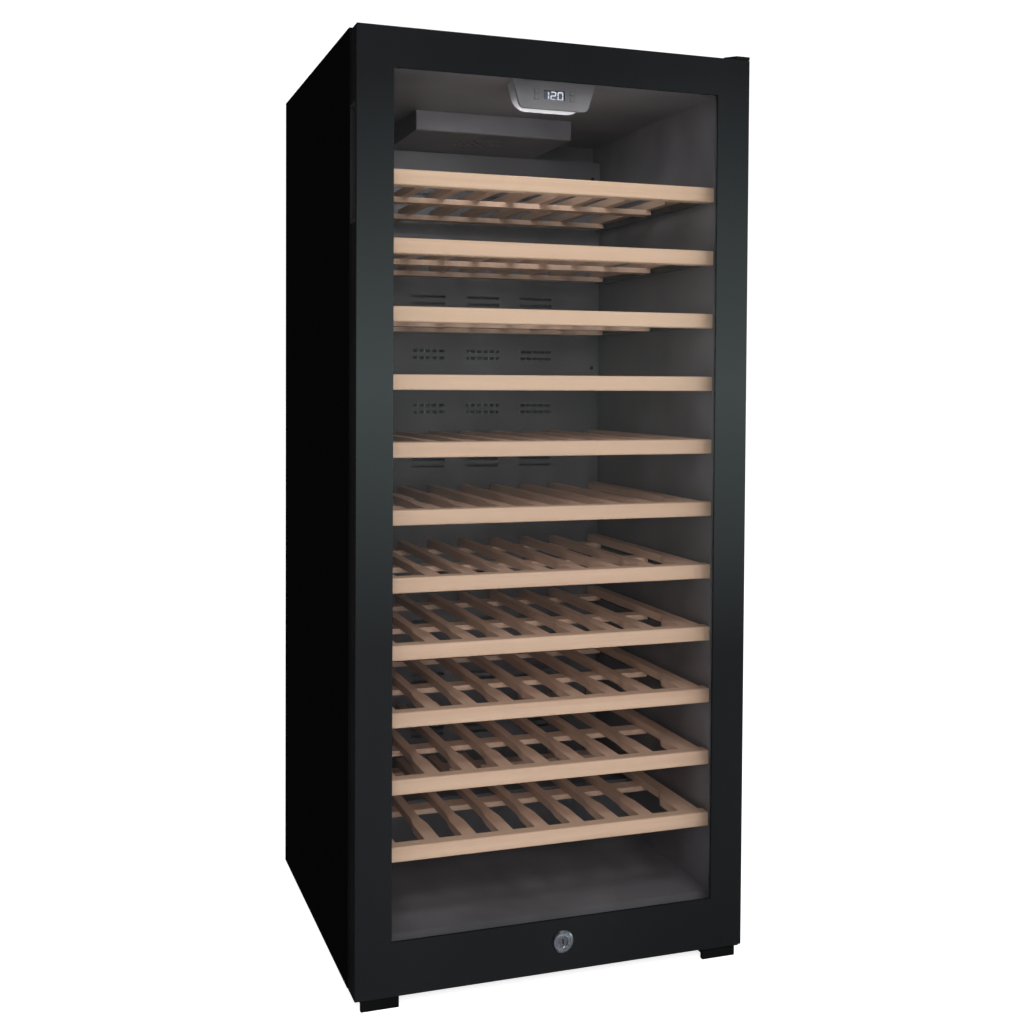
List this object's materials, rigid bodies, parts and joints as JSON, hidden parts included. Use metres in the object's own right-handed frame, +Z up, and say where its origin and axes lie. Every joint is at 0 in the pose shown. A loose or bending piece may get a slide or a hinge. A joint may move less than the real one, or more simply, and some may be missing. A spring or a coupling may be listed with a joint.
{
  "type": "wine cooler",
  "caption": "Tall free-standing wine cooler with a full-height black-edged glass door, side grip, key lock and wooden slatted shelves.",
  "frame": {"origin": "on the floor at the middle of the footprint", "axes": "+Z up, front with the glass door faces -Y, +X is the hinge side (right when seen from the front)"},
  "size_m": [0.595, 0.573, 1.35],
  "materials": {
    "black_steel": "satin",
    "galvanised_steel": "satin",
    "insulation_foam": "matte",
    "liner_plastic": "satin",
    "runner_plastic": "satin",
    "black_plastic": "satin",
    "foot_rubber": "matte",
    "black_bracket": "satin",
    "compressor_enamel": "gloss",
    "coil_metal": "satin",
    "fan_plastic": "satin",
    "gland_rubber": "matte",
    "housing_plastic": "satin",
    "smoked_window": "gloss",
    "circuit_board": "satin",
    "lamp_lens": "satin",
    "button_plastic": "satin",
    "door_frame_plastic": "satin",
    "gasket_rubber": "matte",
    "door_glass": "gloss",
    "inner_glass": "gloss",
    "spacer_metal": "satin",
    "grip_plastic": "satin",
    "bush_plastic": "satin",
    "lock_metal": "satin",
    "barrel_metal": "satin",
    "beech_front": "satin",
    "beech_slats": "satin"
  },
  "bodies": {
    "cabinet": {"left_side_panel": "black_steel", "right_side_panel": "black_steel", "top_panel": "black_steel", "back_panel": "black_steel", "base_pan": "galvanised_steel", "foam_core": "insulation_foam", "inner_liner": "liner_plastic", "shelf_runners": "runner_plastic", "lock_strike": "black_plastic", "feet": "foot_rubber", "bottom_hinge_bracket": "black_bracket", "top_hinge_bracket": "black_bracket", "hinge_cover": "black_plastic", "compressor": "compressor_enamel", "condenser": "coil_metal", "evaporator": "coil_metal", "rear_cover": "liner_plastic", "fan_housing": "liner_plastic", "cord_gland": "gland_rubber", "control_housing": "housing_plastic", "display_window": "smoked_window", "control_board": "circuit_board", "light_lens": "lamp_lens"},
    "door": {"door_outer_frame": "door_frame_plastic", "door_inner_frame": "black_plastic", "door_gasket": "gasket_rubber", "outer_glass": "door_glass", "inner_glass": "inner_glass", "glass_spacer": "spacer_metal", "grip_insert": "grip_plastic", "hinge_bushes": "bush_plastic", "lock_case": "lock_metal"},
    "door_lock": {"lock_barrel": "barrel_metal"},
    "circulation_fan": {"circulation_fan": "fan_plastic"},
    "power_button": {"power_button": "button_plastic"},
    "light_button": {"light_button": "button_plastic"},
    "warmer_button": {"warmer_button": "button_plastic"},
    "colder_button": {"colder_button": "button_plastic"},
    "shelf_01": {"shelf_01_front": "beech_front", "shelf_01_rack": "beech_slats"},
    "shelf_02": {"shelf_02_front": "beech_front", "shelf_02_rack": "beech_slats"},
    "shelf_03": {"shelf_03_front": "beech_front", "shelf_03_rack": "beech_slats"},
    "shelf_04": {"shelf_04_front": "beech_front", "shelf_04_rack": "beech_slats"},
    "shelf_05": {"shelf_05_front": "beech_front", "shelf_05_rack": "beech_slats"},
    "shelf_06": {"shelf_06_front": "beech_front", "shelf_06_rack": "beech_slats"},
    "shelf_07": {"shelf_07_front": "beech_front", "shelf_07_rack": "beech_slats"},
    "shelf_08": {"shelf_08_front": "beech_front", "shelf_08_rack": "beech_slats"},
    "shelf_09": {"shelf_09_front": "beech_front", "shelf_09_rack": "beech_slats"},
    "shelf_10": {"shelf_10_front": "beech_front", "shelf_10_rack": "beech_slats"},
    "shelf_11": {"shelf_11_front": "beech_front", "shelf_11_rack": "beech_slats"}
  },
  "joints": [
    {"name": "door_hinge", "type": "hinge", "parent": "cabinet", "child": "door", "pos_m": [0.288, -0.2615, 0.68], "axis": [0, 0, 1], "range_deg": [0, 110]},
    {"name": "lock_turn", "type": "hinge", "parent": "door", "child": "door_lock", "pos_m": [0.0075, -0.27, 0.0595], "axis": [0, 1, 0], "range_deg": [0, 90]},
    {"name": "fan_spin", "type": "hinge", "parent": "cabinet", "child": "circulation_fan", "pos_m": [0, 0.11, 1.284], "axis": [0, 0, 1], "continuous": true},
    {"name": "power_button_press", "type": "slide", "parent": "cabinet", "child": "power_button", "axis": [0, 1, 0], "range_m": [0, 0.0008], "stiffness_N_per_m": 500},
    {"name": "light_button_press", "type": "slide", "parent": "cabinet", "child": "light_button", "axis": [0, 1, 0], "range_m": [0, 0.0008], "stiffness_N_per_m": 500},
    {"name": "warmer_button_press", "type": "slide", "parent": "cabinet", "child": "warmer_button", "axis": [0, 1, 0], "range_m": [0, 0.0008], "stiffness_N_per_m": 500},
    {"name": "colder_button_press", "type": "slide", "parent": "cabinet", "child": "colder_button", "axis": [0, 1, 0], "range_m": [0, 0.0008], "stiffness_N_per_m": 500},
    {"name": "shelf_01_slide", "type": "slide", "parent": "cabinet", "child": "shelf_01", "axis": [0, -1, 0], "range_m": [0, 0.025]},
    {"name": "shelf_02_slide", "type": "slide", "parent": "cabinet", "child": "shelf_02", "axis": [0, -1, 0], "range_m": [0, 0.025]},
    {"name": "shelf_03_slide", "type": "slide", "parent": "cabinet", "child": "shelf_03", "axis": [0, -1, 0], "range_m": [0, 0.025]},
    {"name": "shelf_04_slide", "type": "slide", "parent": "cabinet", "child": "shelf_04", "axis": [0, -1, 0], "range_m": [0, 0.025]},
    {"name": "shelf_05_slide", "type": "slide", "parent": "cabinet", "child": "shelf_05", "axis": [0, -1, 0], "range_m": [0, 0.025]},
    {"name": "shelf_06_slide", "type": "slide", "parent": "cabinet", "child": "shelf_06", "axis": [0, -1, 0], "range_m": [0, 0.025]},
    {"name": "shelf_07_slide", "type": "slide", "parent": "cabinet", "child": "shelf_07", "axis": [0, -1, 0], "range_m": [0, 0.025]},
    {"name": "shelf_08_slide", "type": "slide", "parent": "cabinet", "child": "shelf_08", "axis": [0, -1, 0], "range_m": [0, 0.025]},
    {"name": "shelf_09_slide", "type": "slide", "parent": "cabinet", "child": "shelf_09", "axis": [0, -1, 0], "range_m": [0, 0.025]},
    {"name": "shelf_10_slide", "type": "slide", "parent": "cabinet", "child": "shelf_10", "axis": [0, -1, 0], "range_m": [0, 0.025]},
    {"name": "shelf_11_slide", "type": "slide", "parent": "cabinet", "child": "shelf_11", "axis": [0, -1, 0], "range_m": [0, 0.025]}
  ]
}
